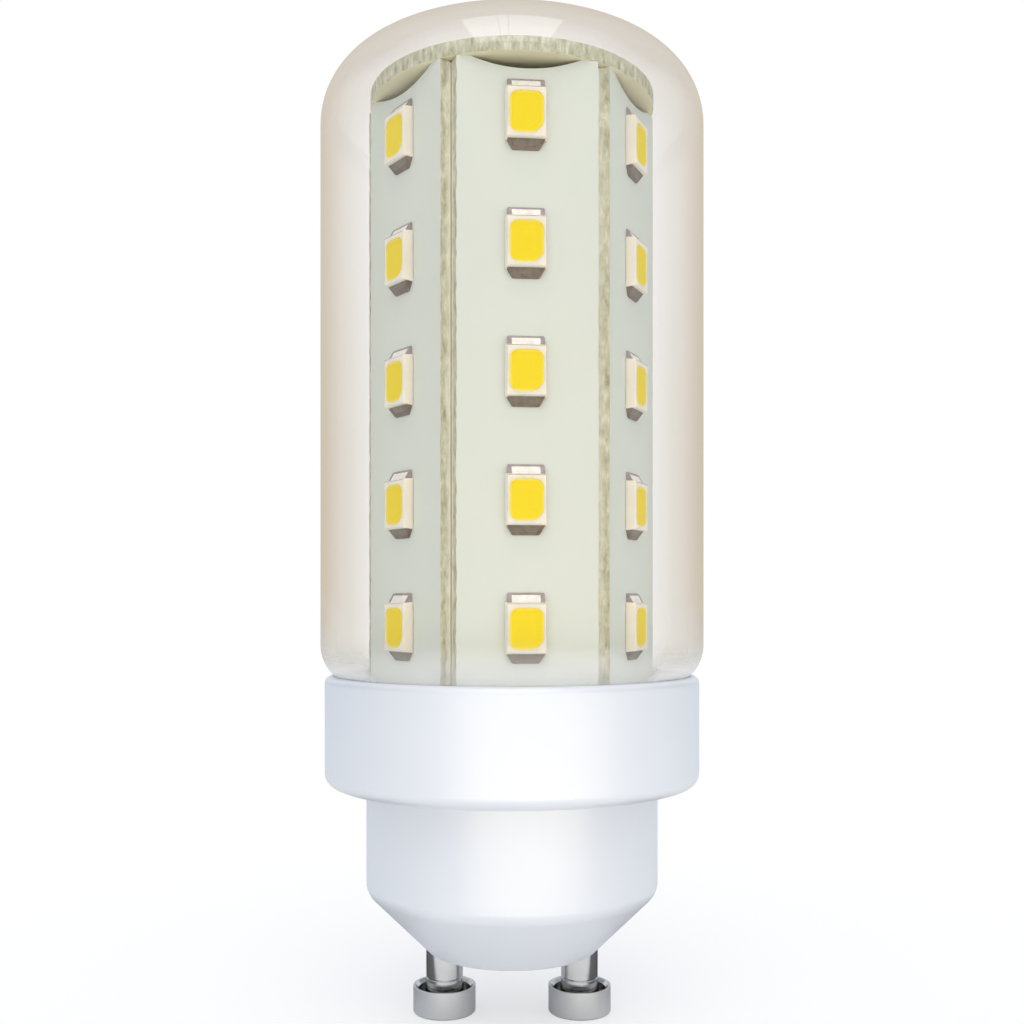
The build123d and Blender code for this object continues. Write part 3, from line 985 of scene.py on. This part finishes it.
def phosphor_fill():
    """Silicone in a window, a little below its edge and sagging in the middle."""
    depth = LED_WINDOW_DEPTH - PHOSPHOR_DIP
    floor = led_height - LED_WINDOW_DEPTH
    size = (window_width, window_length, depth)
    fill = block("phosphor_fill", size, (0, -window_drop, floor + depth / 2))
    edit(fill)
    round_window(fill)
    pick(fill, "faces", lambda face: face.normal.z > FACING)
    for ring in range(PHOSPHOR_RINGS):
        bpy.ops.mesh.inset(thickness=PHOSPHOR_RIM)
        bpy.ops.transform.translate(value=(0, 0, -PHOSPHOR_SAG))
    tidy(fill)
    smooth(fill)
    window = fill.data.uv_layers.new(name="window")
    for loop in fill.data.loops:
        at = fill.data.vertices[loop.vertex_index].co
        up = (at.y + window_drop) / window_length
        window.data[loop.index].uv = (at.x / window_width + 0.5, up + 0.5)
    fill.data.materials.append(phosphor)
    return fill


def solder_joint(name, turn, materials, taper, rim, bar):
    """Solder at one end of a package: an outline round a hollow middle that is open to the package. The
    outline and the middle take different materials, which carry painted light and shade.
    """
    end = LED_LENGTH / 2
    tip = end + SOLDER_REACH
    half = SOLDER_WIDTH / 2
    middle = (0, end + SOLDER_REACH / 2, SOLDER_HEIGHT / 2)

    def outer(vert):
        return vert.co.y > middle[1]

    joint = block(name, (SOLDER_WIDTH, SOLDER_REACH, SOLDER_HEIGHT), middle)
    edit(joint)
    pick(joint, "verts", lambda vert: near(vert.co.z, SOLDER_HEIGHT) and outer(vert))
    bpy.ops.transform.translate(value=(0, 0, SOLDER_EDGE - SOLDER_HEIGHT))
    pick(joint, "verts", outer)
    bpy.ops.transform.resize(value=(1 - taper / half, 1, 1), center_override=(0, tip, 0))
    pick(joint, "verts", lambda vert: near(vert.co.z, SOLDER_HEIGHT))
    bpy.ops.transform.translate(value=(0, -SOLDER_HEIGHT * math.tan(LED_DRAFT), 0))
    pick(joint, "edges", lambda edge: same_x(edge) and all(outer(vert) for vert in edge.verts))
    bevel(SOLDER_CORNER, SOLDER_CORNER_STEPS)
    lean = Vector((SOLDER_REACH, taper, 0)).normalized()
    for place, way in (
        ((half - rim, end, 0), lean),
        ((rim - half, end, 0), (-lean.x, lean.y, 0)),
        ((0, tip - bar, 0), (0, 1, 0)),
    ):
        bpy.ops.mesh.select_all(action="SELECT")
        bpy.ops.mesh.bisect(plane_co=place, plane_no=way, threshold=NEAR)

    def hollow(face):
        at = face.calc_center_median()
        beside = abs(at.x) + (at.y - end) * taper / SOLDER_REACH
        return face.normal.z > 0.5 and beside < half - rim and at.y < tip - bar

    pick(joint, "faces", hollow)
    shape = bmesh.from_edit_mesh(joint.data)
    for face in shape.faces:
        face.material_index = int(face.select)
    bmesh.update_edit_mesh(joint.data)
    bpy.ops.mesh.inset(thickness=SOLDER_SINK)
    bpy.ops.transform.translate(value=(0, 0, -SOLDER_SINK))
    tidy(joint)
    smooth(joint)
    joint.data.transform(Matrix.Rotation(turn, 4, "Z"))
    for material in materials:
        joint.data.materials.append(material)
    return joint


def led_place(board, row):
    """Matrix that puts something modelled on the XY plane on a board's face, with Y up."""
    out = face_way(board)
    across = Vector((-out.y, out.x, 0))
    place = Matrix((across, UP, out)).transposed().to_4x4()
    place.translation = out * board_face + UP * led_z(row)
    return place


def copied(master, name, place):
    """Copy of a piece with its own mesh, moved to a place."""
    mesh = master.data.copy()
    mesh.name = name
    mesh.transform(place)
    piece = bpy.data.objects.new(name, mesh)
    bpy.context.scene.collection.objects.link(piece)
    return piece


def joined(pieces, name):
    """Several pieces as one."""
    take(pieces[0])
    for piece in pieces:
        piece.select_set(True)
    bpy.ops.object.join()
    return added(name)


def make_leds():
    body = led_body()
    fill = phosphor_fill()
    # Upper joints get a painted highlight in the middle and painted shade on the outline; lower joints
    # get painted shade throughout
    upper = solder_joint("solder_upper", 0, (solder_painted_edge_shade, solder_painted_highlight), **SOLDER_UPPER)
    lower = solder_joint("solder_lower", math.pi, (solder_painted_shade, solder_painted_half_shade), **SOLDER_LOWER)
    joints = []
    for board in range(BOARD_COUNT):
        fills = []
        for row in range(LED_ROWS):
            label = f"{board + 1}_{row + 1}"
            place = led_place(board, row)
            package = copied(body, f"package_{label}", place)
            finished(package, "led_cream", [f"led_{label}"])
            fills.append(copied(fill, f"fill_{label}", place))
            joints.append(copied(upper, f"upper_{label}", place))
            joints.append(copied(lower, f"lower_{label}", place))
        windows = joined(fills, f"windows_{board + 1}")
        finished(windows, "phosphor_yellow", [f"phosphor_{board + 1}"])
    finished(joined(joints, "solder"), "solder", ["solder_joints"])
    for master in (body, fill, upper, lower):
        bpy.data.objects.remove(master)


def make_top_plate():
    """Round plate on the boards' peaks, with a sawn rim."""
    rng = random.Random("plate")
    centre = (0, 0, (plate_low.z + plate_high.z) / 2)
    thickness = plate_high.z - plate_low.z
    plate = rod("column_plate", plate_high.x, thickness, centre, steps=PLATE_STEPS)
    edit(plate)
    pick(plate, "edges", lambda edge: near(edge.verts[0].co.z, edge.verts[1].co.z))
    bevel(PLATE_ROUND, PLATE_ROUND_STEPS)
    shape = bmesh.from_edit_mesh(plate.data)
    for vert in shape.verts:
        shrink = 1 - rng.random() * PLATE_EDGE_ROUGHNESS / plate_high.x
        vert.co.x *= shrink
        vert.co.y *= shrink
    bmesh.update_edit_mesh(plate.data)
    deselect()
    for face in plate.data.polygons:
        face.material_index = int(abs(face.normal.z) > FACING)
    smooth(plate)
    finished(plate, "bare_laminate", ["top_plate"], laminate, bare_laminate)


make_cover()
make_collar()
make_base()
make_pin("pin_left", -pin_x, "contact_pin_left")
make_pin("pin_right", pin_x, "contact_pin_right")
for board in range(BOARD_COUNT):
    make_board(board)
make_leds()
make_top_plate()

# Parts shut away in the cap keep their CAD shapes
shut_away = {
    "carrier_plate": plain_part("white_plate", (240, 240, 237), (246, 246, 243), 0.6),
    "driver_board": plain_part("green_laminate", (28, 92, 52), (38, 112, 64), 0.4),
    "bridge_rectifier": plain_part("black_package", (34, 34, 36), (46, 46, 48), 0.55),
    "driver_chip": bpy.data.materials["black_package"],
    "smoothing_capacitor": plain_part("capacitor_sleeve", (24, 28, 52), (32, 38, 66), 0.3),
    "fuse_resistor": plain_part("resistor_coat", (138, 156, 148), (154, 170, 160), 0.35),
}
tinned = plain_part("tinned_wire", (196, 196, 192), (216, 216, 212), 0.25, metallic=1.0)
for name in ("supply_wire_left", "supply_wire_right", "led_wire_positive", "led_wire_negative"):
    shut_away[name] = tinned
for name, material in shut_away.items():
    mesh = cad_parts[name].data
    mesh.materials.clear()
    mesh.materials.append(material)


def add_floor():
    deselect()
    bpy.ops.mesh.primitive_plane_add(size=FLOOR_SIZE)
    floor = added("floor")
    floor.data.materials.append(studio_floor())


def add_lamp(name, place, aim, width, height, power, colour):
    """Rectangular soft lamp at a place, aimed at a point."""
    light = bpy.data.lights.new(name, "AREA")
    light.shape = "RECTANGLE"
    light.size = width
    light.size_y = height
    light.energy = power
    light.color = colour
    lamp = bpy.data.objects.new(name, light)
    lamp.location = place
    lamp.rotation_euler = (Vector(aim) - Vector(place)).to_track_quat("-Z", "Y").to_euler()
    lamp.visible_camera = False
    bpy.context.scene.collection.objects.link(lamp)


def add_world():
    """White for the eye, a cool light for everything else and dark sides for what gloss mirrors."""
    world = bpy.data.worlds.new("studio")
    bpy.context.scene.world = world
    finish = Finish(world)
    way = finish.node("ShaderNodeTexCoord", output="Object")
    white, soft, flag = [
        finish.node("ShaderNodeBackground", None, {"Color": colour, "Strength": strength})
        for colour, strength in (
            ((1, 1, 1, 1), 1.0),
            (SKY_COLOUR, SKY_STRENGTH),
            (SKY_COLOUR, FLAG_STRENGTH),
        )
    ]
    side = finish.step(finish.math("ABSOLUTE", finish.along(way, 0)), *FLAG_SIDE)
    around = finish.blend(finish.ray("Glossy") * side, soft, flag)
    seen = finish.math("MAXIMUM", finish.ray("Camera"), finish.ray("Transmission"))
    finish.show(finish.blend(seen, around, white), "ShaderNodeOutputWorld")


def add_camera():
    data = bpy.data.cameras.new("camera")
    data.lens = CAMERA_LENS
    data.sensor_width = CAMERA_SENSOR
    data.shift_y = CAMERA_SHIFT
    data.clip_start = MM
    data.clip_end = 2 * FLOOR_SIZE
    camera = bpy.data.objects.new("camera", data)
    camera.location = (0, -CAMERA_DISTANCE, CAMERA_HEIGHT)
    camera.rotation_euler = (math.pi / 2, 0, 0)
    bpy.context.scene.collection.objects.link(camera)
    bpy.context.scene.camera = camera


add_floor()

# Each lamp: place, aim, width, height, watts and colour
add_lamp("front_lamp", (0.09, -0.49, 0.085), (0, 0, 0.03), 0.7, 0.14, 0.075, FRONT_LIGHT)
add_lamp("low_lamp", (0.035, -0.18, 0.026), (0, 0, 0.022), 0.3, 0.022, 0.031, WARM_LIGHT)
add_lamp("foot_lamp", (0.015, -0.075, 0.003), (0, 0, 0.012), 0.14, 0.005, 0.012, WARM_LIGHT)
for number, (x, width) in enumerate(KEY_PANELS):
    name = f"key_lamp_{number + 1}"
    add_lamp(name, (x, -0.32, 0.58), (x, 0, 0.04), width, KEY_LENGTH, KEY_POWER * width, KEY_LIGHT)
add_world()
add_camera()
bpy.context.scene.view_settings.view_transform = "Standard"

deselect()
